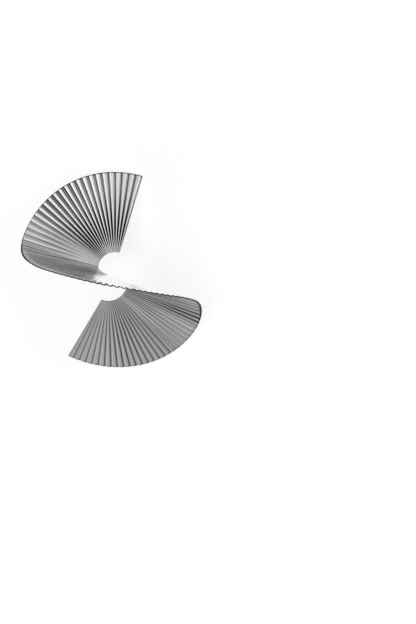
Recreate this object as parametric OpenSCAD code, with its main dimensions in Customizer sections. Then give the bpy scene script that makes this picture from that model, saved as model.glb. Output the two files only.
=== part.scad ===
// Pleated fan stud earring: one ribbon of thin sheet metal, pressed into radial pleats and
// twisted so that an upper fan, a level middle and a lower fan follow one another round a
// ring, with a plain ear post behind the upper fan. It lies on its back, as it rests when
// it isn't worn. Millimetres and degrees.
//
// The ribbon is worked out as it is worn: +X to the right as it is seen from the front, +Y
// towards the ear and +Z up, from the middle of the upper fan's ring. It is then laid down
// on its three lowest points, with the top of the upper fan towards +Y.

/* [Ribbon] */
// Radius of the ribbon's inner edge
inner_r = 6.1; // [5:0.1:8]
// Radius of the ribbon's outer edge
outer_r = 35.1; // [30:0.1:40]
// Thickness of the sheet
sheet_t = 0.28; // [0.2:0.01:0.4]

/* [Pleats] */
// Number of pleats along the ribbon
pleats = 92.5; // [80.5:1:110.5]
// Turn from one pleat to the next at the start, in the upper fan
first_turn = 4.09; // [3.8:0.01:4.2]
// Turn from one pleat to the next at the end, in the lower fan
last_turn = 3.81; // [3.6:0.01:4]
// Depth of a pleat from crest to valley at the outer edge
rim_depth = 0.56; // [0.4:0.01:0.7]
// Depth of a pleat from crest to valley at the inner edge
root_depth = 0.2; // [0.1:0.01:0.3]
// Sharpness of the valleys: 1 is a crease, 2 is a plain wave
valley_power = 1.4; // [1.1:0.1:2]
// Flats along the ribbon in one pleat
pleat_flats = 8; // [4:2:8]

/* [Twist] */
// Direction of the first edge, up from +X in the plane of the upper fan
first_edge = 73; // [60:1:85]
// Lean of the upper fan towards the ear
lean = 5.6; // [0:0.1:15]
// Swing of the upper fan about the vertical
swing = 4.8; // [0:0.1:12]
// Sideways shift of the ring's middle from the upper fan to the lower
ring_shift = -2.4; // [-4:0.1:0]
// Drop of the ring's middle from the upper fan to the lower
ring_drop = 7; // [5:0.1:9]

/* [Ear post] */
// Radius of the post
post_r = 0.45; // [0.4:0.05:0.5]
// Length of the post from the back of its pad to its tip
post_length = 10.5; // [9:0.5:12]
// Radius of the pad that is soldered to the ribbon
pad_r = 2.2; // [1.5:0.1:3]
// Thickness of the pad
pad_t = 0.6; // [0.4:0.1:1]
// Place of the post along the ribbon, from the first edge
post_turn = 26; // [15:1:40]
// Distance of the post from the middle of the ring
post_reach = 21; // [16:0.5:26]

/* [Hidden] */

// Columns: middle of the bend along the ribbon, length that it is spread over, and how far
// it bends the sheet, towards the face seen in the upper fan if positive.
BENDS = [
    [92.5, 46, 74],   // left curl, from the upper fan into the level middle
    [127, 16, 6],     // easing out of the left curl
    [229, 30, -7],    // easing into the right curl
    [248, 26, -25],   // right curl, from the middle into the lower fan
    [272, 67, -31],   // easing out of the right curl, far into the lower fan
];

// Columns: start and end along the ribbon of the ring's shift and drop.
DRIFT = [36, 392];

// Columns: radius of a ring of points, depth of the pleats there. The pleats are cut back
// towards the inner edge, where they would otherwise close up.
knee_r = 17;
knee_depth = 0.9 * rim_depth;
RINGS = [
    [inner_r, root_depth],
    [knee_r, knee_depth],
    [outer_r, rim_depth],
];

columns = round(pleats * pleat_flats);
solder_gap = 0.05;   // between the pad and the crests behind the upper fan
tip_chamfer = 0.25;  // at the tip of the post
collar = 0.4;        // cone of solder where the post meets its pad

function unit(v) = v / norm(v);
function total(v, i = 0) = i < len(v) ? v[i] + total(v, i + 1) : 0;

// Share of a change that is done at u, from 0 to 1, starting and ending gently.
function eased(u) = let (c = min(max(u, 0), 1)) c - sin(360 * c) / (2 * PI);
function drifted(u) = let (c = min(max(u, 0), 1)) c * c * (3 - 2 * c);

// Way along the ribbon, in degrees, at a pleat number, and at a column of points.
function way(pleat) = pleat * first_turn - (first_turn - last_turn) * pleat * pleat / (2 * pleats);
function column_way(i) = way(i / pleat_flats);

// Bend that the sheet has taken by a way along the ribbon.
function bend_by(w) = total([for (row = BENDS) row[2] * eased((w - row[0]) / row[1] + 0.5)]);

// A frame is [ruling, normal]. The ruling is the way from the ring's middle to the rim, and
// the normal stands on the face that the upper fan shows.
function turned(frame, angle) = let (across = cross(frame[1], frame[0]))
    [frame[0] * cos(angle) + across * sin(angle), frame[1]];
function bent(frame, angle) = let (across = cross(frame[1], frame[0]))
    [frame[0], frame[1] * cos(angle) - across * sin(angle)];
function next_frame(frame, from, to) =
    turned(bent(turned(frame, (to - from) / 2), bend_by(to) - bend_by(from)), (to - from) / 2);

fan_right = [cos(swing), sin(swing), 0];
fan_up = [-sin(swing) * sin(lean), cos(swing) * sin(lean), cos(lean)];
first_frame = turned([fan_right, cross(fan_right, fan_up)], first_edge);
FRAMES = [for (i = 0, f = first_frame; i <= columns;
               f = next_frame(f, column_way(i), column_way(i + 1)), i = i + 1) f];

function ring_middle(w) = [ring_shift, 0, -ring_drop] * drifted((w - DRIFT[0]) / (DRIFT[1] - DRIFT[0]));

// Height of each face of the sheet over its middle, as a share of half the pleat's depth.
// Both faces have broad crests and narrow valleys, as a bent sheet has.
function front_wave(pleat) = 2 * pow(abs(sin(180 * pleat)), valley_power) - 1;
function back_wave(pleat) = 1 - 2 * pow(abs(cos(180 * pleat)), valley_power);
function height(side, pleat, depth) = side > 0
    ? front_wave(pleat) * depth / 2 + sheet_t / 2
    : back_wave(pleat) * depth / 2 - sheet_t / 2;

function worn_point(i, ring, side) = ring_middle(column_way(i)) + ring[0] * FRAMES[i][0]
    + height(side, i / pleat_flats, ring[1]) * FRAMES[i][1];

// Where the post stands: on the crests behind the upper fan, square to the sheet.
post_column = [for (i = [0 : columns]) if (column_way(i) >= post_turn) i][0];
post_axis = -FRAMES[post_column][1];
pad_base = ring_middle(post_turn) + post_reach * FRAMES[post_column][0]
    + (rim_depth / 2 + sheet_t / 2 + solder_gap) * post_axis;
post_tip = pad_base + (pad_t + post_length) * post_axis;

// The part lies on the tip of the post, on the back corner of the first edge, and on the
// rim of the lower fan. The surface is swung about the line through the first two, from
// the front towards the back, until the first point of the rim touches it.
last_ring = len(RINGS) - 1;
first_corner = worn_point(0, RINGS[last_ring], -1);
front = [0, -1, 0];
rest_line = unit(first_corner - post_tip);
rest_front = unit(front - (front * rest_line) * rest_line);
rest_side = cross(rest_line, rest_front);
lower_rim = [for (i = [round(columns * 0.7) : columns], side = [-1, 1])
    worn_point(i, RINGS[last_ring], side) - post_tip];
rim_angle = min([for (q = lower_rim) atan2(q * rest_front, q * rest_side)]);
rest_z = cos(rim_angle) * rest_front - sin(rim_angle) * rest_side;
rest_y = unit([0, 0, 1] - rest_z[2] * rest_z);
rest_x = cross(rest_y, rest_z);
function lying(p) = [p * rest_x, p * rest_y, p * rest_z];

POINTS = [for (i = [0 : columns], side = [-1, 1], ring = RINGS) lying(worn_point(i, ring, side))];
low = [for (a = [0 : 2]) min([for (p = POINTS) p[a]])];
high = [for (a = [0 : 2]) max([for (p = POINTS) p[a]])];
tip_low = lying(post_tip)[2] - (post_r - tip_chamfer) * sqrt(1 - pow(post_axis * rest_z, 2));
base = [(low[0] + high[0]) / 2, (low[1] + high[1]) / 2, min(low[2], tip_low)];

rings = len(RINGS);
row = 2 * rings;  // points in a column: the back face from inside out, then the front face
function corner(i, side, ring) = i * row + (side > 0 ? rings : 0) + ring;
function quad(a, b, c, d) = [[a, c, b], [a, d, c]];
function flat(lists) = [for (l = lists) each l];

// The ribbon: both faces of the pleated sheet, closed along its two edges and two ends.
module pleated_fan() {
    color("silver")
    polyhedron(
        points = [for (p = POINTS) p - base],
        faces = flat([
            for (i = [0 : columns - 1], k = [0 : rings - 2])
                quad(corner(i, 1, k), corner(i, 1, k + 1), corner(i + 1, 1, k + 1), corner(i + 1, 1, k)),
            for (i = [0 : columns - 1], k = [0 : rings - 2])
                quad(corner(i, -1, k), corner(i + 1, -1, k), corner(i + 1, -1, k + 1), corner(i, -1, k + 1)),
            for (i = [0 : columns - 1])
                quad(corner(i, -1, 0), corner(i, 1, 0), corner(i + 1, 1, 0), corner(i + 1, -1, 0)),
            for (i = [0 : columns - 1])
                quad(corner(i, 1, last_ring), corner(i, -1, last_ring),
                     corner(i + 1, -1, last_ring), corner(i + 1, 1, last_ring)),
            for (k = [0 : rings - 2])
                quad(corner(0, -1, k), corner(0, -1, k + 1), corner(0, 1, k + 1), corner(0, 1, k)),
            for (k = [0 : rings - 2])
                quad(corner(columns, -1, k), corner(columns, 1, k),
                     corner(columns, 1, k + 1), corner(columns, -1, k + 1)),
        ]));
}

// The post: a round pad with a straight stem, turned in one piece.
module ear_post() {
    tip = pad_t + post_length;
    z = lying(post_axis);
    x = unit(cross([0, 1, 0], z));
    y = cross(z, x);
    at = lying(pad_base) - base;
    color("silver")
    multmatrix([
        [x[0], y[0], z[0], at[0]],
        [x[1], y[1], z[1], at[1]],
        [x[2], y[2], z[2], at[2]],
        [0, 0, 0, 1]])
    rotate_extrude($fn = 48)
    polygon([
        [0, 0], [pad_r, 0], [pad_r, pad_t / 2], [pad_r - pad_t / 2, pad_t],
        [post_r + collar, pad_t], [post_r, pad_t + collar],
        [post_r, tip - tip_chamfer], [post_r - tip_chamfer, tip], [0, tip]]);
}

pleated_fan();
ear_post();
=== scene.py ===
# %% [markdown]
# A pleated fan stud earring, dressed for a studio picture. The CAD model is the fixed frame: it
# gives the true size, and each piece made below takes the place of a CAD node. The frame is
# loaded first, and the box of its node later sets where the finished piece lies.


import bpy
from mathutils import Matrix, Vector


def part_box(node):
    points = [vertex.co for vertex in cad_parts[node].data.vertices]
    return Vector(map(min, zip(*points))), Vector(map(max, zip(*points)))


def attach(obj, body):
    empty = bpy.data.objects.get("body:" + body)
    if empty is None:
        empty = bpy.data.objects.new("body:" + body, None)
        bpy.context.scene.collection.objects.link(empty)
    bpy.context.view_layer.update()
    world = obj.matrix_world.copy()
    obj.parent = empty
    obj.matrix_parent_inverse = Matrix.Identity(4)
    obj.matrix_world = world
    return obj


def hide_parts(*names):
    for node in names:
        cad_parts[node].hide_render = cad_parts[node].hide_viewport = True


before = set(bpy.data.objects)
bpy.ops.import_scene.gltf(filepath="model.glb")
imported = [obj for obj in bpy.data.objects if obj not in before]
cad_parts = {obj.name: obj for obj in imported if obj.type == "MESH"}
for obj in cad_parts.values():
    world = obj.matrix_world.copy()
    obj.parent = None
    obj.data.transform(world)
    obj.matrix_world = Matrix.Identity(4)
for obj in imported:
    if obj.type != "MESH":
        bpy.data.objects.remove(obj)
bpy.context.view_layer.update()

# %% [markdown]
# Blender works in metres, and a maker's drawing of an earring is in millimetres. So the
# shape is worked out in millimetres, as the earring is worn: x to the right, y away from the
# viewer and z up. It is turned to its resting place, and to metres, at the end.

# %% Libraries, and the unit of the maker's drawing
import math

import bpy
import numpy as np
from mathutils import Matrix, Vector

MM = 0.001
print("Blender", bpy.app.version_string, "and one millimetre is", MM, "metres")

# %% [markdown]
# The earring is one ribbon of thin silver sheet. It is pressed into narrow pleats that run
# out from a ring, like the folds of a paper fan, and then twisted, so that an upper fan, a
# level middle and a lower fan follow one another round the ring. The same few sizes as in
# the CAD source give it here, so that both models agree.

# %% Sizes of the ribbon, in millimetres and degrees
inner_r, outer_r = 6.1, 35.1
pleats = 92.5                       # how many there are
first_turn, last_turn = 4.09, 3.81  # turn from one to the next, at the start and at the end
first_edge = 73.0                   # direction of the first edge, up from the right
lean, swing = 5.6, 4.8              # the upper fan leans back, and swings about the vertical
ring_shift, ring_drop = -2.4, 7.0   # how far the middle of the ring drifts, across and down
drift = (36.0, 392.0)               # where along the ribbon that drift starts and ends
# Columns: middle of a bend along the ribbon, length that it is spread over, and its angle.
BENDS = [(92.5, 46, 74), (127, 16, 6), (229, 30, -7), (248, 26, -25), (272, 67, -31)]


def way(pleat):
    """Degrees along the ribbon at a pleat number. The pleats get a little narrower."""
    return pleat * first_turn - (first_turn - last_turn) * pleat ** 2 / (2 * pleats)


def bend_by(w):
    """Degrees that the sheet has bent by a way along the ribbon; each bend eases in and out."""
    total = 0.0
    for centre, length, angle in BENDS:
        u = min(max((w - centre) / length + 0.5, 0.0), 1.0)
        total += angle * (u - math.sin(2 * math.pi * u) / (2 * math.pi))
    return total


print("sweep of the ribbon:", round(way(pleats), 2), "degrees; bent by", bend_by(way(pleats)))

# %% [markdown]
# A pleated sheet can't bend across its pleats, only along them. So the twist is made as a
# frame that travels along the ribbon: one arrow along the pleat, one square to the sheet.
# At each small step the frame turns in the sheet, and rolls about the pleat by the bend
# there. A bend modifier could not do this, because the pleats spread like the spokes of a
# wheel and each one has its own axis.

# %% The travelling frame
def spun(pair, degrees):
    """The frame turned in the plane of the sheet."""
    along, face = pair
    c, s = math.cos(math.radians(degrees)), math.sin(math.radians(degrees))
    return along * c + face.cross(along) * s, face


def rolled(pair, degrees):
    """The frame rolled about the pleat, as the sheet bends."""
    along, face = pair
    c, s = math.cos(math.radians(degrees)), math.sin(math.radians(degrees))
    return along, face * c - face.cross(along) * s


def travel(pleat_numbers):
    """The frame at each of a row of pleat numbers, as the earring is worn."""
    a, b = math.radians(swing), math.radians(lean)
    right = Vector((math.cos(a), math.sin(a), 0))
    up = Vector((-math.sin(a) * math.sin(b), math.cos(a) * math.sin(b), math.cos(b)))
    pair = spun((right, right.cross(up)), first_edge)
    rows = [pair]
    for here, there in zip(pleat_numbers, pleat_numbers[1:]):
        half = (way(there) - way(here)) / 2
        pair = spun(rolled(spun(pair, half), bend_by(way(there)) - bend_by(way(here))), half)
        rows.append(pair)
    return np.array([r[0] for r in rows]), np.array([r[1] for r in rows])


def ring_middle(w):
    """Middle of the ring, which drifts down and to the left from the upper fan to the lower."""
    u = np.clip((w - drift[0]) / (drift[1] - drift[0]), 0, 1)
    return np.outer(u * u * (3 - 2 * u), (ring_shift, 0.0, -ring_drop))


COLUMNS = 16      # columns of points in one pleat
crowding = 0.055  # how far they crowd together at each fold, where the sheet turns most
steps = np.arange(round(pleats * COLUMNS) + 1) / COLUMNS
number = steps - crowding * np.sin(4 * math.pi * steps)
number[-1] = pleats
along, face = travel(list(number))
middle = ring_middle(way(number))
print("columns along the ribbon:", len(number))

# %% [markdown]
# On the real piece each pleat is a broad rounded rib between two narrow creases, and it
# looks the same from the back, where the ribs are the creases of the front. The power
# below one in the wave makes the crease narrow and its walls steep. Towards the ring the
# pleats get narrower, so they are also pressed less deep there. In the left curl the sheet
# is bent so sharply that its pleats are pulled nearly flat, and they are soft in the lower
# fan. A small table gives each of these changes, and is read between its rows.

# %% The depth of the pleats
# Rings of points, from the inner edge to the outer; they crowd together where an edge rolls.
radii = np.array(
    [6.1, 6.11, 6.14, 6.2, 6.3, 7, 8, 9.2, 10.6, 12.2, 14.2, 17, 20.5, 24.5, 28.5, 32]
    + [33.6, 34, 34.2, 34.4, 34.6, 34.75, 34.88, 34.97, 35.04, 35.085, 35.1])
# For each point of a face: its pleat number, its way along the ribbon and its radius.
at_pleat, at_r = np.meshgrid(number, radii, indexing="ij")
at_way = way(at_pleat)

# Columns: distance from the middle of the ring, depth of the pleats there.
DEPTHS = [(6.1, 0.18), (9, 0.26), (12, 0.36), (17, 0.48), (24, 0.5), (35.1, 0.54)]
# Columns: way along the ribbon, share of that depth there.
FLATTENED = [(88, 1), (102, 0.38), (155, 0.38), (180, 1), (275, 1), (300, 0.8), (366, 0.76)]


def read(table, at):
    """A value between the rows of a table; beyond its ends the value stays as it is there."""
    return np.interp(at, *zip(*table))


depth = read(DEPTHS, at_r) * read(FLATTENED, at_way)
print("depth of the pleats:", [round(float(v), 2) for v in (depth.min(), depth.max())], "mm")

# %% [markdown]
# A sheet that was cut with shears has sharp edges, so a maker eases them. At the rim the end
# of each rib also rolls down a little, and in the left curl the whole rim is rolled down. A
# bevel modifier would treat the two faces alike and could not tell a rib from a crease, so
# the heights of both faces are worked out point by point instead.

# %% The two faces of the sheet
sheet_t = 0.24                    # at the top of a rib; the walls between the ribs are thicker
crease_power = 0.9                # power of the wave: less makes a narrower crease
cut_ease, hole_width = 0.05, 0.2  # how far a cut edge is lowered, and how wide at the ring
rib_roll, roll_width = 0.11, 0.5  # how much further the end of a rib rolls down, and how wide
lip_depth, lip_width = 0.45, 1.1  # the rolled rim of the left curl
# Columns: way along the ribbon, share of that lip there.
LIP = [(98, 0), (112, 1), (172, 1), (186, 0)]


def eased_edge(rib):
    """How far a face is lowered at its two cut edges; the end of a rib rolls down further."""
    rim = np.clip((at_r - (outer_r - roll_width)) / roll_width, 0, 1)
    hole = np.clip((inner_r + hole_width - at_r) / hole_width, 0, 1)
    roll = cut_ease + rib_roll * rib
    return roll * (1 - np.sqrt(1 - rim ** 2)) + cut_ease * (1 - np.sqrt(1 - hole ** 2))


outwards = np.clip((at_r - (outer_r - lip_width)) / lip_width, 0, 1)
lip = lip_depth * read(LIP, at_way) * outwards ** 2
front_rib = np.abs(np.sin(math.pi * at_pleat)) ** crease_power
back_rib = np.abs(np.cos(math.pi * at_pleat)) ** crease_power
front = depth * (front_rib - 0.5) + sheet_t / 2 - eased_edge(front_rib) - lip
back = -depth * (back_rib - 0.5) - sheet_t / 2 + eased_edge(back_rib) - lip
print("thinnest place:", round(float((front - back).min()), 3), "mm")

# %% [markdown]
# The creases of the real ribbon look almost black, because they lie in shade and mirror the
# dark parts of the room around it. That shade is painted here into the colour of the metal. The
# lines could be painted on an image, but it would have to be drawn as finely as the pleats.
# Here each point of the skin keeps a value instead, 1 in a crease and 0 on a rib, and the
# material reads it. The bends open the creases and let light in, so the painted shade changes
# along the ribbon.

# %% The dark line of painted shade in each crease
# Columns: distance from the middle of the ring, half the width of the dark line there.
FRONT_WIDTHS = [(6.1, 0.04), (8, 0.08), (9.5, 0.2), (12, 0.31), (15, 0.37), (19, 0.33),
                (25, 0.2), (35.1, 0.17)]
BACK_WIDTHS = [(6.1, 0.02), (9, 0.05), (14, 0.09), (20, 0.13), (30, 0.18), (35.1, 0.2)]
# Columns: way along the ribbon, darkness there; and share of it that is lost near the ring.
DARKNESS = [(66, 1), (78, 0.4), (86, 0.6), (97, 0.6), (106, 0.3), (160, 0.25), (170, 0.1),
            (202, 0.15), (216, 0.6), (224, 0.95), (237, 0.95), (243, 0.3), (257, 0.4),
            (263, 0.95), (269, 0.95), (276, 0.7)]
LOST_BY_RING = [(62, 0), (76, 1), (104, 1), (110, 0)]
# Columns: way along the ribbon, how much wider the two darkest lines of painted shade in the
# right curl are.
WIDENED = [(258, 0), (263, 0.7), (269, 0.7), (274, 0)]
rim_flare = 0.9  # length over which a line flares at the rim


def ramp(start, end):
    """Over the ribbon: 0 at the first radius and beyond it, 1 at the second, even between."""
    return np.clip((at_r - start) / (end - start), 0, 1)


def dark_line(place, widths):
    """1 in the line of painted shade and 0 beside it, with soft sides; its place in each pleat
    is 0 to 1.
    """
    pitch = at_r * np.radians(first_turn - (first_turn - last_turn) * at_pleat / pleats)
    distance = np.abs((at_pleat - place + 0.5) % 1 - 0.5) * pitch
    flare = np.clip(1 - (outer_r - at_r) / rim_flare, 0, 1) ** 2
    wider = read(WIDENED, at_way) * ramp(16, 24)
    half_width = read(widths, at_r) * (1 + 2 * flare + wider)
    darkness = read(DARKNESS, at_way) * (1 - read(LOST_BY_RING, at_way) * ramp(24, 12))
    return np.exp(-(distance / half_width) ** 6) * darkness


# Columns: way along the ribbon, place of the line in its pleat. It lies a little to one side
# of the fold, where the one wall leans over it.
FRONT_FOLDS = [(0, 0.05), (30, 0.04), (50, -0.01), (70, -0.03), (90, -0.03), (110, 0.05)]
BACK_FOLDS = [(272, 0.6), (278, 0.38), (294, 0.38), (303, 0.62), (312, 0.66)]
# Painted shade in the creases of the front and of the back.
front_lines = dark_line(read(FRONT_FOLDS, at_way), FRONT_WIDTHS)
back_lines = dark_line(read(BACK_FOLDS, at_way), BACK_WIDTHS)
print("mean darkness of the front:", round(float(front_lines.mean()), 3))

# %% [markdown]
# In two places each pleat of the real ribbon shows a second, fainter line beside the first,
# where one wall mirrors the dark of the room: on the outer half of the front before the left
# curl, and on the back past the right curl. These lines are painted shade as well. They are
# drawn by the same function, so that they share the widths and the darkness.

# %% The second, fainter lines of painted shade
# Columns: way along the ribbon, strength of the second line there, or its place in its pleat.
FRONT_SECOND = [(32, 0), (42, 0.4), (70, 0.4), (76, 0.3), (98, 0.35), (106, 0)]
FRONT_SECOND_FOLDS = [(0, 0.37), (60, 0.35), (71, 0.33), (78, 0.64)]
BACK_SECOND = [(270, 0), (278, 0.7), (298, 0.7), (308, 0)]
back_second_fold = 0.85

front_second = (read(FRONT_SECOND, at_way) * ramp(17, 25)
                * dark_line(read(FRONT_SECOND_FOLDS, at_way), BACK_WIDTHS))
back_second = read(BACK_SECOND, at_way) * dark_line(back_second_fold, BACK_WIDTHS)
front_lines = np.maximum(front_lines, front_second)
back_lines = np.maximum(back_lines, back_second)
print("and with its second lines:", round(float(front_lines.mean()), 3))

# %% [markdown]
# The curls lie in shade too, and that shade is painted: it darkens the front of the left curl,
# over its ribs as well as its creases, and the back of the right curl, most of all near the
# ring. Shade and lines are put together as two sheets of tinted glass would be, so that neither
# wipes the other out.

# %% The painted shade in the curls
# A patch of painted shade is two tables. Columns: way along the ribbon, shade there; and
# distance from the middle of the ring, share of the shade there.
LEFT_CURL = (
    [(90, 0), (106, 0.36), (130, 0.36), (138, 0.26), (148, 0.2), (158, 0.12), (168, 0)],
    [(6, 1.1), (14, 0.8), (20, 1.1), (26, 1.55), (33.4, 1.4), (33.8, 0)])
LEFT_CURL_BY_RING = (
    [(122, 0), (134, 0.55), (150, 0.7), (157, 0.55), (164, 0)],
    [(6, 1), (10, 1.1), (14, 1), (19, 0.45), (25, 0)])
RIGHT_CURL = (
    [(228, 0), (238, 0.5), (262, 0.5), (285, 0.38), (302, 0)],
    [(6, 1), (17, 0.9), (25, 0.45), (33, 0.15)])


def patch(by_way, by_radius):
    """Painted shade over the ribbon, from its two tables."""
    return read(by_way, at_way) * read(by_radius, at_r)


def both_faces(front, back):
    """The front's values from the ring outwards, and then the back's from the rim inwards."""
    return np.concatenate([front, back[:, ::-1]], axis=1)


# Painted shade of the curls, laid over the painted lines of the creases.
front_curl_shade = np.maximum(patch(*LEFT_CURL), patch(*LEFT_CURL_BY_RING))
front_dark = 1 - (1 - front_lines) * (1 - front_curl_shade)
back_dark = 1 - (1 - back_lines) * (1 - patch(*RIGHT_CURL))
creases = both_faces(front_dark, back_dark)
print("mean darkness of the whole skin:", round(float(creases.mean()), 3))

# %% [markdown]
# The earring lies on its back, as it rests when it isn't worn: on the tip of its post, on
# the back corner of its first edge and on the rim of the lower fan. These three points give
# the turn from the worn directions to the resting ones, as in the CAD source. A physics
# simulation could drop it there, but three points are enough, and they are exact.

# %% How it rests
# The pleats of the CAD source: their flats, depth, the power of their wave and the sheet.
cad_flats, cad_depth, cad_power, cad_sheet = 8, 0.56, 1.4, 0.28
rib_top = 0.42                                    # top of a rib there, over the sheet's middle
post_r, post_length, pad_r, pad_t = 0.45, 10.5, 2.2, 0.6
post_turn, post_reach, solder_gap = 26, 21, 0.05  # where the post stands


def ribbon_point(i, r, height):
    """A point at a height over the sheet's middle, in a column and at a radius."""
    return Vector(middle[i] + r * along[i] + height * face[i])


post_pleat = next(k for k in range(1000) if way(k / cad_flats) >= post_turn) / cad_flats
post_along, post_face = (Vector(a[-1]) for a in travel(list(np.linspace(0, post_pleat, 200))))
post_axis = -post_face
pad_base = post_reach * post_along + (rib_top + solder_gap) * post_axis
post_tip = pad_base + (pad_t + post_length) * post_axis

rest_line = (ribbon_point(0, outer_r, -rib_top) - post_tip).normalized()
rest_front = Vector((0, -1, 0)) - Vector((0, -1, 0)).dot(rest_line) * rest_line
rest_front.normalize()
rest_side = rest_line.cross(rest_front)
# Tops of the ribs on the rim of the lower fan, from seven tenths of the ribbon on. They are
# counted in half pleats: front ones are odd, back ones even.
rib_ends = [ribbon_point(k * COLUMNS // 2, outer_r, rib_top if k % 2 else -rib_top) - post_tip
            for k in range(round(pleats * 1.4), round(pleats * 2) + 1)]
rim_angle = min(math.atan2(q.dot(rest_front), q.dot(rest_side)) for q in rib_ends)
rest_z = math.cos(rim_angle) * rest_front - math.sin(rim_angle) * rest_side
rest_y = (Vector((0, 0, 1)) - rest_z.z * rest_z).normalized()
rest_x = rest_y.cross(rest_z)
resting = Matrix((rest_x, rest_y, rest_z))
print("resting axes:", [[round(v, 4) for v in row] for row in resting])

# %% [markdown]
# The turned ribbon is then set into the box of its CAD node. Its own finer pleats would give
# a box that is a hair smaller, so the plain pleats of the CAD source are laid out once more,
# only to be measured: their box has to be the node's.

# %% Where it rests
def lying(points):
    """Worn points, in millimetres, turned to the resting position, before the last move."""
    return np.asarray(points) @ np.array(resting).T


plain_front = cad_depth / 2 * (2 * np.abs(np.sin(math.pi * number)) ** cad_power - 1)
plain_back = cad_depth / 2 * (1 - 2 * np.abs(np.cos(math.pi * number)) ** cad_power)
outline = np.concatenate([
    lying(middle + r * along + h[:, None] * face) for r in (inner_r, outer_r)
    for h in (plain_front + cad_sheet / 2, plain_back - cad_sheet / 2)])
low, high = outline.min(0), outline.max(0)
node_low, node_high = (np.array(corner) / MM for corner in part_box("pleated_fan"))
move = np.append((node_low + node_high)[:2] / 2 - (low + high)[:2] / 2, node_low[2] - low[2])


def to_scene(points):
    """Worn points in millimetres to scene points in metres."""
    return (lying(points) + move) * MM


print("size of the turned ribbon:", np.round(high - low, 2),
      "and of its CAD node:", np.round(node_high - node_low, 2))

# %% [markdown]
# The picture looks straight at the worn front of the earring. A very long lens keeps the
# pleats from spreading with distance, as in a product picture that is taken from far away.
# The sides and the bottom of the frame are a little larger than the earring needs, because
# it stands in the upper left of the picture.

# %% Camera
picture_w, picture_h, mm_per_pixel = 416, 624, 0.36
centre_x, centre_y = 114.9, 268.9  # where the middle of the upper ring falls in the picture
aim = to_scene([(picture_w / 2 - centre_x) * mm_per_pixel, 0.0,
                (centre_y - picture_h / 2) * mm_per_pixel])
toward = resting @ Vector((0, -1, 0))
up = resting @ Vector((0, 0, 1))
data = bpy.data.cameras.new("camera")
data.lens, data.sensor_width, data.clip_start, data.clip_end = 1000, 36, 0.1, 100
distance = picture_h * mm_per_pixel * MM * data.lens / data.sensor_width
camera = bpy.data.objects.new("camera", data)
bpy.context.scene.collection.objects.link(camera)
right = up.cross(toward)
turn = Matrix((right, up, toward)).transposed()
camera.matrix_world = Matrix.Translation(Vector(aim) + toward * distance) @ turn.to_4x4()
bpy.context.scene.camera = camera
print("camera stands", round(math.degrees(math.asin(toward.z)), 1), "degrees above the floor")

# %% [markdown]
# The real sheet is thin but solid, so a closed skin is drawn over its two faces and its cut
# edges, column by column. A strip with a solidify modifier would be simpler, but then a
# narrow crease of the front would be a narrow rib of the back, and here both faces have
# broad ribs. There are more than a thousand columns, so the skin is filled from arrays.

# %% The ribbon
def skin(name, grid):
    """A closed mesh from a grid of points: columns, then once round the section."""
    columns, around = grid.shape[:2]
    index = np.arange(columns * around).reshape(columns, around)
    here, there = index[:-1], index[1:]
    quads = np.stack([here, np.roll(here, -1, 1), np.roll(there, -1, 1), there], -1)
    ends = []
    for column, flip in ((index[0], 1), (index[-1], -1)):
        for k in range(around // 2 - 1):
            corners = [column[k], column[around - 1 - k], column[around - 2 - k], column[k + 1]]
            ends.append(corners[::flip])
    mesh = bpy.data.meshes.new(name)
    mesh.from_pydata(grid.reshape(-1, 3).tolist(), [], quads.reshape(-1, 4).tolist() + ends)
    return mesh


def new_piece(name, mesh):
    """A smooth piece in the scene, from a mesh."""
    mesh.validate()
    for polygon in mesh.polygons:
        polygon.use_smooth = True
    piece = bpy.data.objects.new(name, mesh)
    bpy.context.scene.collection.objects.link(piece)
    return piece


spine = middle[:, None] + radii[None, :, None] * along[:, None]
top = spine + front[..., None] * face[:, None]
under = spine + back[..., None] * face[:, None]
grid = to_scene(both_faces(top, under).reshape(-1, 3))
ribbon = new_piece("pleated_ribbon", skin("ribbon", grid.reshape(*creases.shape, 3)))
print("ribbon:", len(ribbon.data.polygons), "faces")

# %% [markdown]
# Two values are kept on each point for the finish: the painted shade of its crease and its
# curl, and how near it is to a cut edge, where the rim turns away from the light and is painted
# dark as shade, wider in the curls. The map runs along the ribbon and along the pleats, in
# metres, so that polishing marks can follow the pleats.

# %% What the finish reads from the ribbon
# Columns: way along the ribbon, width of the painted shade along the cut edge there.
EDGE_WIDTHS = [(0, 0.45), (60, 0.4), (86, 0.35), (98, 1.0), (108, 1.0), (118, 0.35),
               (196, 0.4), (204, 0.9), (222, 0.9), (230, 0.6), (240, 1.0), (256, 1.3),
               (264, 0.7), (272, 0.35)]
mm_per_degree = 0.35  # scale of the map along the ribbon
map_gap = 5           # between the front's part of the map and the back's


def add_value(mesh, name, values):
    """A value on each point, which the material reads by its name."""
    layer = mesh.attributes.new(name, "FLOAT", "POINT")
    layer.data.foreach_set("value", np.asarray(values, np.float32).reshape(-1))


# Painted shade along the cut edges.
from_edge = np.minimum(outer_r - at_r, 3 * (at_r - inner_r))  # a third as wide at the ring
edge = np.clip(1 - from_edge / read(EDGE_WIDTHS, at_way), 0, 1)
mesh = ribbon.data
add_value(mesh, "crease", creases)
add_value(mesh, "edge", both_faces(edge, edge))
uv = np.stack([both_faces(at_way, at_way) * mm_per_degree * MM,
               both_faces(at_r, 2 * outer_r + map_gap - at_r) * MM], -1)
loops = np.zeros(len(mesh.loops), np.int32)
mesh.loops.foreach_get("vertex_index", loops)
mesh.uv_layers.new(name="along_and_across").data.foreach_set(
    "uv", uv.reshape(-1, 2)[loops].astype(np.float32).reshape(-1))
print("the map is", [round(float(v), 3) for v in np.ptp(uv, axis=(0, 1))], "metres in size")

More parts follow.
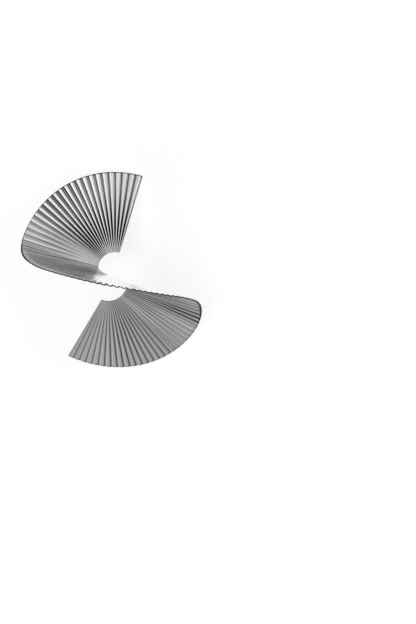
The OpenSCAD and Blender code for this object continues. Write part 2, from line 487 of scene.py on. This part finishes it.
# %% [markdown]
# The post is a turned piece: a round pad with a pressed edge, a stem, a small groove where
# the butterfly back clicks on, and a blunt rounded tip. A plain cylinder would look like
# wire, so its profile is drawn first, with all of these.

# %% The profile of the ear post
def arc(x, y, r, start, end, count):
    """Points of an arc in the profile: distance from the axis, then height."""
    return [(x + r * math.cos(a), y + r * math.sin(a))
            for a in np.radians(np.linspace(start, end, count))]


tip = pad_t + post_length
pressed, shoulder, blunt = 0.12, 0.2, 0.3     # radii of the pad's two edges and of the tip
solder_r, solder_t, fillet = 1.2, 0.01, 0.42  # the solder round the foot of the post
# Columns: distance below the tip, depth of the groove there.
STEM = [(2.6, 0), (2.5, 0.03), (2.3, 0.1), (2.1, 0.1), (1.9, 0.03), (1.8, 0), (0.4, 0)]
profile = [(0.0, 0.0)] + arc(pad_r - pressed, pressed, pressed, -90, 0, 5)
profile += arc(pad_r - shoulder, pad_t - shoulder, shoulder, 0, 90, 7)
profile += [(solder_r, pad_t + solder_t)]
profile += arc(post_r + fillet, pad_t + (solder_t + fillet), fillet, 270, 180, 8)
profile += [(post_r - groove, tip - below) for below, groove in STEM]
profile += arc(post_r - blunt, tip - blunt, blunt, 0, 90, 6) + [(0.0, tip)]
print("points in the profile:", len(profile))

# %% [markdown]
# A lathe swings the work round its axis, and here the profile is swung. A screw modifier
# would do it too, but this way the mesh comes out closed at the pad and at the tip at once.

# %% The ear post
def swung(name, profile, base, axis, sides):
    """A mesh of a profile that is swung round an axis, and closed where it meets the axis."""
    side = axis.orthogonal().normalized()
    other = axis.cross(side)
    points, faces, rows = [], [], []
    for r, h in profile:
        count = sides if r > 0 else 1
        rows.append(range(len(points), len(points) + count))
        for k in range(count):
            a = 2 * math.pi * k / sides
            points.append(base + h * axis + r * (math.cos(a) * side + math.sin(a) * other))
    for lower, upper in zip(rows, rows[1:]):
        for k in range(sides):
            corners = [lower[k % len(lower)], lower[(k + 1) % len(lower)],
                       upper[(k + 1) % len(upper)], upper[k % len(upper)]]
            faces.append(list(dict.fromkeys(corners)))
    mesh = bpy.data.meshes.new(name)
    mesh.from_pydata(to_scene([list(p) for p in points]).tolist(), [], faces)
    return mesh


post = new_piece("turned_post", swung("turned_post", profile, pad_base, post_axis, sides=64))
print("post:", len(post.data.polygons), "faces")

# %% [markdown]
# Both pieces are polished silver-coloured metal. Polishing leaves faint marks and a haze
# that is never quite even, so both materials share two node groups: one for the marks and
# one for the haze. They put out values only; the metal itself is set in each material. The
# marks are a noise that is stretched along the pleats.

# %% A group for polishing marks
FLOAT, VECTOR = "NodeSocketFloat", "NodeSocketVector"
marks_across, marks_along = 9000.0, 150.0  # how many there are to a metre


def feed(tree, socket, value):
    """Gives a socket its value, or links it to the socket that feeds it."""
    if isinstance(value, bpy.types.NodeSocket):
        tree.links.new(value, socket)
    else:
        socket.default_value = value


def node(tree, kind, settings=None, **inputs):
    """A node with its settings. An input goes by its name, or by i and its number."""
    made = tree.nodes.new("ShaderNode" + kind)
    for key, value in (settings or {}).items():
        setattr(made, key, value)
    for key, value in inputs.items():
        numbered = key[0] == "i" and key[1:].isdigit()
        feed(tree, made.inputs[int(key[1:]) if numbered else key.replace("_", " ")], value)
    return made


def new_group(name, inputs, outputs):
    """An empty node group with named inputs and outputs; each input has its usual value."""
    group = bpy.data.node_groups.new(name, "ShaderNodeTree")
    for label, kind, value in inputs:
        socket = group.interface.new_socket(label, in_out="INPUT", socket_type=kind)
        if value is not None:
            socket.default_value = value
    for label in outputs:
        group.interface.new_socket(label, in_out="OUTPUT", socket_type=FLOAT)
    return group, group.nodes.new("NodeGroupInput"), group.nodes.new("NodeGroupOutput")


marks_group, given, result = new_group(
    "polishing_marks",
    [("Place", VECTOR, None), ("Across", FLOAT, marks_across), ("Along", FLOAT, marks_along)],
    ["Height"])
stretch = node(marks_group, "CombineXYZ", i0=given.outputs["Across"],
               i1=given.outputs["Along"], i2=given.outputs["Across"])
scaled = node(marks_group, "VectorMath", {"operation": "MULTIPLY"},
              i0=given.outputs["Place"], i1=stretch.outputs[0])
streaks = node(marks_group, "TexNoise", i0=scaled.outputs[0], Scale=1.0, Detail=3.0)
feed(marks_group, result.inputs["Height"], streaks.outputs[0])
print("marks to a millimetre, across the pleats:", marks_across * MM)

# %% [markdown]
# The haze is a cloudy noise a few millimetres across, as the wheel leaves it. The group puts
# out the roughness, between a least and a most value, and the bare cloud for a duller tone.

# %% A group for the haze
cloud_range = {"i1": 0.3, "i2": 0.7}  # the noise seldom leaves this range
haze_group, given, result = new_group(
    "haze",
    [("Place", VECTOR, None), ("Patch Size", FLOAT, 0.006), ("Least", FLOAT, 0.09),
     ("Most", FLOAT, 0.2)],
    ["Roughness", "Cloud"])
scale = node(haze_group, "Math", {"operation": "DIVIDE"}, i0=1.0,
             i1=given.outputs["Patch Size"])
cloud = node(haze_group, "TexNoise", i0=given.outputs["Place"], Scale=scale.outputs[0],
             Detail=4.0, Roughness=0.6)
spread = node(haze_group, "MapRange", i0=cloud.outputs[0], **cloud_range,
              i3=given.outputs["Least"], i4=given.outputs["Most"])
feed(haze_group, result.inputs["Roughness"], spread.outputs[0])
feed(haze_group, result.inputs["Cloud"], cloud.outputs[0])
print("node groups:", [group.name for group in bpy.data.node_groups])

# %% [markdown]
# The painted shade in the creases, in the curls and on the cut edges belongs to the sheet
# alone. This group turns the two values that were kept on the points into one tone, from 0 for
# black to 1 for bare silver, by which the material darkens its colour.

# %% A group for the painted shade
painted_shade_group, given, result = new_group(
    "painted_shade_in_creases",
    [("Crease", FLOAT, 0.0), ("Edge", FLOAT, 0.0),
     ("Crease Tone", FLOAT, 0.0), ("Edge Tone", FLOAT, 0.08)],
    ["Tone"])
crease_light = node(painted_shade_group, "MapRange", i0=given.outputs["Crease"],
                    i1=0.0, i2=1.0, i3=1.0, i4=given.outputs["Crease Tone"])
edge_light = node(painted_shade_group, "MapRange", {"interpolation_type": "SMOOTHSTEP"},
                  i0=given.outputs["Edge"], i1=0.15, i2=0.7,
                  i3=1.0, i4=given.outputs["Edge Tone"])
tone = node(painted_shade_group, "Math", {"operation": "MULTIPLY"},
            i0=crease_light.outputs[0], i1=edge_light.outputs[0])
feed(painted_shade_group, result.inputs["Tone"], tone.outputs[0])
print("the bloom reads:", [socket.name for socket in given.outputs if socket.name])

# %% [markdown]
# Bare silver is a light metal with hardly a colour of its own, so its finish is nearly all
# gloss. Each material sets its own shader to bare metal, and a tone, a haze and the marks
# feed it.

# %% The finish of the sheet
SILVER = (0.86, 0.86, 0.865)
mark_strength, mark_height = 0.05, 0.00002


def new_material(name):
    """An empty material, and its tree."""
    material = bpy.data.materials.new(name)
    material.use_nodes = True
    return material, material.node_tree


def placed(tree, group, **inputs):
    """A node group placed in a material, with its own values."""
    return node(tree, "Group", {"node_tree": group}, **inputs)


def polish(tree, tone, haze, marks):
    """Sets the shader to bare silver, and feeds it a tone, a haze and polishing marks."""
    shader = tree.nodes["Principled BSDF"]
    colour = node(tree, "VectorMath", {"operation": "SCALE"}, i0=SILVER, Scale=tone)
    bump = node(tree, "Bump", Strength=mark_strength, Distance=mark_height,
                Height=marks.outputs["Height"])
    feed(tree, shader.inputs["Metallic"], 1.0)
    feed(tree, shader.inputs["Base Color"], colour.outputs[0])
    feed(tree, shader.inputs["Roughness"], haze.outputs["Roughness"])
    feed(tree, shader.inputs["Normal"], bump.outputs[0])


sheet, tree = new_material("polished_silver_sheet")
place = node(tree, "UVMap", {"uv_map": "along_and_across"}).outputs[0]
crease_value = node(tree, "Attribute", {"attribute_name": "crease"}).outputs["Fac"]
edge_value = node(tree, "Attribute", {"attribute_name": "edge"}).outputs["Fac"]
# The tone of the sheet is painted shade: the creases, the curls and the cut edges darken its
# colour.
painted_shade = placed(tree, painted_shade_group, Crease=crease_value, Edge=edge_value)
polish(tree, painted_shade.outputs["Tone"], placed(tree, haze_group, Place=place),
       placed(tree, marks_group, Place=place))
ribbon.data.materials.append(sheet)
print("nodes in the sheet's material:", len(tree.nodes))

# %% [markdown]
# The post is turned and buffed, so its marks run every way and there is no dark bloom. Its
# tone follows the cloud of its haze instead, because a hazier patch looks a little duller.

# %% The finish of the post
turned, tree = new_material("buffed_silver_post")
place = node(tree, "TexCoord").outputs["Object"]
haze = placed(tree, haze_group, Place=place, Patch_Size=0.002, Least=0.1, Most=0.22)
marks = placed(tree, marks_group, Place=place, Across=2500.0, Along=2500.0)
tint = node(tree, "MapRange", i0=haze.outputs["Cloud"], **cloud_range, i3=0.94, i4=1.0)
polish(tree, tint.outputs[0], haze, marks)
post.data.materials.append(turned)
print("materials:", [material.name for material in bpy.data.materials])

# %% [markdown]
# Silver has no colour of its own: it shows the room. Jewellery is photographed inside a tent
# of white cloth, with a few soft lamps behind it, and dark gaps between them draw the
# pleats. Here the tent is the world, and each lamp is a soft lobe of light in a direction.
# Lamps could also be placed in the scene, but a lobe can be dark too, as a black card is.

# %% The lamps and cards
# Columns: direction of the lamp, how narrow it is, how bright it is. The directions are given
# as the wearer would say them: right, away and up. A black card has a brightness below zero.
LAMPS = [
    ((-0.58, -0.80, -0.06), 30, 1.20),   # lamp at the left
    ((-0.34, -0.86, -0.38), 36, 0.70),   # its lower end
    ((-0.62, -0.74, 0.26), 36, 0.50),    # and its upper end
    ((0.66, -0.75, 0.03), 30, 0.95),     # lamp at the right
    ((0.15, -0.97, 0.14), 24, 0.30),     # glow of the two lamps between them
    ((0.12, -0.76, 0.62), 20, 0.50),     # lamp above the camera
    ((0.32, -0.30, 0.90), 14, 1.00),     # lamp overhead, as it is worn
    ((-0.75, -0.10, 0.65), 24, 0.80),    # white wall at the upper left
    ((-0.05, -0.25, -0.97), 3.5, 0.38),  # white wall below
    ((-0.80, 0.32, -0.46), 10, 0.42),    # white wall at the left, behind
    ((-0.75, -0.12, -0.65), 12, 0.18),   # and its lower part
    ((0.00, -1.00, 0.00), 4.0, 0.55),    # the tent round the camera
    ((-0.28, -0.74, 0.60), 30, -0.20),   # black card at the upper left
    ((0.72, -0.20, -0.66), 12, -0.15),   # black card at the lower right
    ((0.90, -0.33, -0.27), 14, 0.20),    # white wall at the right
    ((0.50, -0.55, 0.67), 30, -0.45),    # black card at the upper right
]


def add_lobe(tree, light, direction, lamp, tightness, brightness):
    """The light so far and one more lamp or card: a power of the cosine round its direction."""
    aimed = tuple((resting @ Vector(lamp)).normalized())
    facing = node(tree, "VectorMath", {"operation": "DOT_PRODUCT"}, i0=direction, i1=aimed)
    held = node(tree, "Math", {"operation": "MAXIMUM"}, i0=facing.outputs["Value"], i1=0.0)
    lobe = node(tree, "Math", {"operation": "POWER"}, i0=held.outputs[0], i1=float(tightness))
    return node(tree, "Math", {"operation": "MULTIPLY_ADD"},
                i0=lobe.outputs[0], i1=brightness, i2=light).outputs[0]


print("lamps and walls:", sum(brightness > 0 for _, _, brightness in LAMPS),
      "and black cards:", sum(brightness < 0 for _, _, brightness in LAMPS))

# %% [markdown]
# The background of the picture is plain white, and the tent isn't seen in it. So the world
# shows plain white to the camera, and the tent to everything that is lit by it.

# %% The tent
WHITE = (1, 1, 1, 1)
ROOM = 0.05  # light of the unlit tent


def camera_sees(tree, shown, mirrored):
    """One shader for what the camera sees, and another one for what the metal mirrors."""
    ray = node(tree, "LightPath")
    return node(tree, "MixShader", i0=ray.outputs["Is Camera Ray"],
                i1=mirrored.outputs[0], i2=shown.outputs[0]).outputs[0]


world = bpy.data.worlds.new("studio")
bpy.context.scene.world = world
world.use_nodes = True
tree = world.node_tree
direction = node(tree, "TexCoord").outputs["Generated"]
light = ROOM
for lamp, tightness, brightness in LAMPS:
    light = add_lobe(tree, light, direction, lamp, tightness, brightness)
light = node(tree, "Math", {"operation": "MAXIMUM"}, i0=light, i1=0.0).outputs[0]
tent = tree.nodes["Background"]
feed(tree, tent.inputs["Color"], WHITE)
feed(tree, tent.inputs["Strength"], light)
plain = node(tree, "Background", Color=WHITE, Strength=1.0)
feed(tree, tree.nodes["World Output"].inputs["Surface"], camera_sees(tree, plain, tent))
bpy.context.scene.view_settings.view_transform = "Standard"
print("nodes in the world:", len(tree.nodes))

# %% [markdown]
# The earring lies on white paper. It is matt and glows faintly, as paper does that is lit
# from all sides, so that only a faint shadow is left under the earring. The metal mirrors it
# as a pool of light that fades away from the earring, because the lamps light only the
# middle of the paper.

# %% The paper
paper_near, paper_far = 1.05, 0.28  # its light beside the earring and further away, mirrored
pool_start, pool_end = 0.012, 0.1   # where the pool of light starts to fade, and where it ends
paper_tone, paper_glow = 0.9, 0.54  # how the camera sees it: its own tone and its glow
half_size = 4

floor_mesh = bpy.data.meshes.new("floor")
corners = [(x * half_size, y * half_size, 0) for x, y in ((-1, -1), (1, -1), (1, 1), (-1, 1))]
floor_mesh.from_pydata(corners, [], [(0, 1, 2, 3)])
floor = bpy.data.objects.new("floor", floor_mesh)
bpy.context.scene.collection.objects.link(floor)
paper, tree = new_material("white_paper")
shader = tree.nodes["Principled BSDF"]
for name, value in {"Base Color": (paper_tone, paper_tone, paper_tone, 1), "Roughness": 1.0,
                    "Specular IOR Level": 0.0, "Emission Color": WHITE,
                    "Emission Strength": paper_glow}.items():
    feed(tree, shader.inputs[name], value)
spot = node(tree, "TexCoord").outputs["Object"]
far = node(tree, "VectorMath", {"operation": "LENGTH"}, i0=spot)
pool = node(tree, "MapRange", {"interpolation_type": "SMOOTHSTEP"}, i0=far.outputs["Value"],
            i1=pool_start, i2=pool_end, i3=paper_near, i4=paper_far)
mirrored = node(tree, "Emission", Color=WHITE, Strength=pool.outputs[0])
feed(tree, tree.nodes["Material Output"].inputs["Surface"], camera_sees(tree, shader, mirrored))
floor.data.materials.append(paper)
print("the paper is", 2 * half_size, "metres wide")

# %% [markdown]
# Each of the two pieces stands for its CAD node, which is hidden, and rides on the one body of
# the row.

# %% The pieces in place of their CAD nodes
for piece, node_name, slot in ((ribbon, "pleated_fan", "silver_sheet"),
                               (post, "ear_post", "silver_post")):
    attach(piece, "root")
    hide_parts(node_name)
